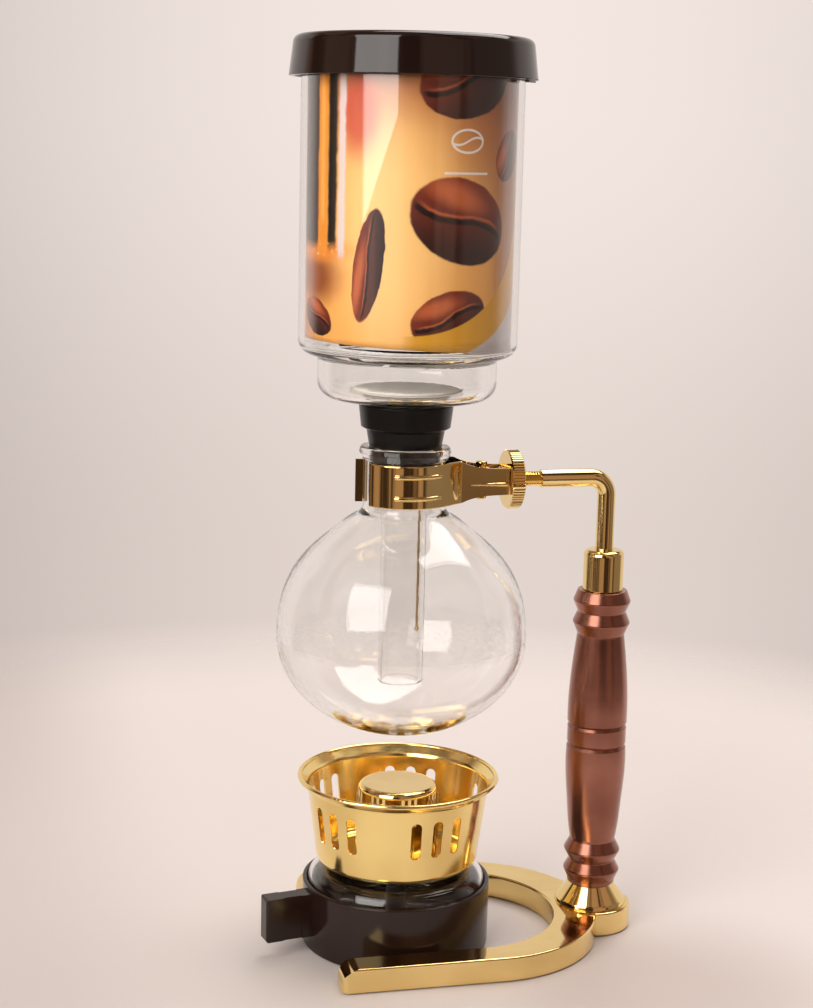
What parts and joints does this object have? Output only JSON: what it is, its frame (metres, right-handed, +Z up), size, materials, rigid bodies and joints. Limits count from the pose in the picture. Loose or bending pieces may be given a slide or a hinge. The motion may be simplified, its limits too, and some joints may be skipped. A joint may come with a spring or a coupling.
{
  "type": "vacuum coffee brewer",
  "caption": "Table-top vacuum (siphon) coffee brewer: glass flask and lidded bowl on a horseshoe stand with a clamp, turned handle and spirit burner.",
  "frame": {"origin": "on the table under the flask's axis, at the centre of the burner's underside", "axes": "+Z up, +X from the flask's axis towards the post, +Y to the back of the clamp's front jaw"},
  "size_m": [0.1506, 0.0992, 0.344],
  "materials": {
    "gold": "polished gold plating",
    "brass": "turned brass",
    "pad_rubber": "matt",
    "stopper_rubber": "matt moulded",
    "copper_brown": "satin metallic copper-brown lacquer",
    "steel": "satin",
    "clear_glass": "clear borosilicate, polished",
    "printed_sheet": "satin printed sheet",
    "brown_plastic": "gloss moulded",
    "filter_cloth": "cotton flannel",
    "wick_cotton": "twisted cotton"
  },
  "bodies": {
    "stand": {"stand_base": "gold", "foot_pads": "pad_rubber", "base_cone": "gold", "handle_grip": "copper_brown", "handle_collar": "gold", "tie_bolt": "steel", "tie_washer": "steel", "support_rod": "gold", "pivot_pin": "gold", "flask": "clear_glass"},
    "front_jaw": {"front_jaw": "gold"},
    "rear_jaw": {"rear_jaw": "gold"},
    "cone_washer": {"cone_washer": "gold"},
    "thumb_nut": {"thumb_nut": "gold"},
    "upper": {"upper_bowl": "clear_glass", "stopper": "stopper_rubber", "paper_insert": "printed_sheet"},
    "lid": {"lid": "brown_plastic"},
    "filter": {"filter_disc": "steel", "filter_cloth": "filter_cloth", "filter_spring": "steel", "filter_stem": "brass"},
    "burner": {"burner_base": "brown_plastic", "burner_pad": "pad_rubber", "fuel_reservoir": "clear_glass", "wick_holder": "brass", "wick": "wick_cotton", "wind_guard": "gold"},
    "cap": {"snuffer_cap": "gold"}
  },
  "joints": [
    {"name": "nut_travel", "type": "slide", "parent": "stand", "child": "cone_washer", "axis": [1, 0, 0], "range_m": [0, 0.00401]},
    {"name": "nut_spin", "type": "hinge", "parent": "cone_washer", "child": "thumb_nut", "pos_m": [0.042, 0, 0.1815], "axis": [1, 0, 0], "range_deg": [0, 1440]},
    {"name": "front_jaw_open", "type": "hinge", "parent": "stand", "child": "front_jaw", "pos_m": [0.0298, 0, 0.1815], "axis": [0, 0, 1], "range_deg": [0, 8.01]},
    {"name": "rear_jaw_open", "type": "hinge", "parent": "stand", "child": "rear_jaw", "pos_m": [0.0298, 0, 0.1815], "axis": [0, 0, 1], "range_deg": [-8.01, 0]},
    {"name": "bowl_lift", "type": "slide", "parent": "stand", "child": "upper", "axis": [0, 0, 1], "range_m": [0, 0.1]},
    {"name": "lid_lift", "type": "slide", "parent": "upper", "child": "lid", "axis": [0, 0, 1], "range_m": [0, 0.045]},
    {"name": "filter_lift", "type": "slide", "parent": "upper", "child": "filter", "axis": [0, 0, 1], "range_m": [0, 0.092]},
    {"name": "burner_slide", "type": "slide", "parent": "stand", "child": "burner", "axis": [-1, 0, 0], "range_m": [0, 0.11]},
    {"name": "cap_lift", "type": "slide", "parent": "burner", "child": "cap", "axis": [0, 0, 1], "range_m": [0, 0.018]}
  ],
  "couplings": [
    {"joint": "nut_travel", "follows": "nut_spin", "m_per_rad": 0.00015915},
    {"joint": "front_jaw_open", "follows": "nut_spin", "ratio": 0.0055556},
    {"joint": "rear_jaw_open", "follows": "nut_spin", "ratio": -0.0055556}
  ]
}
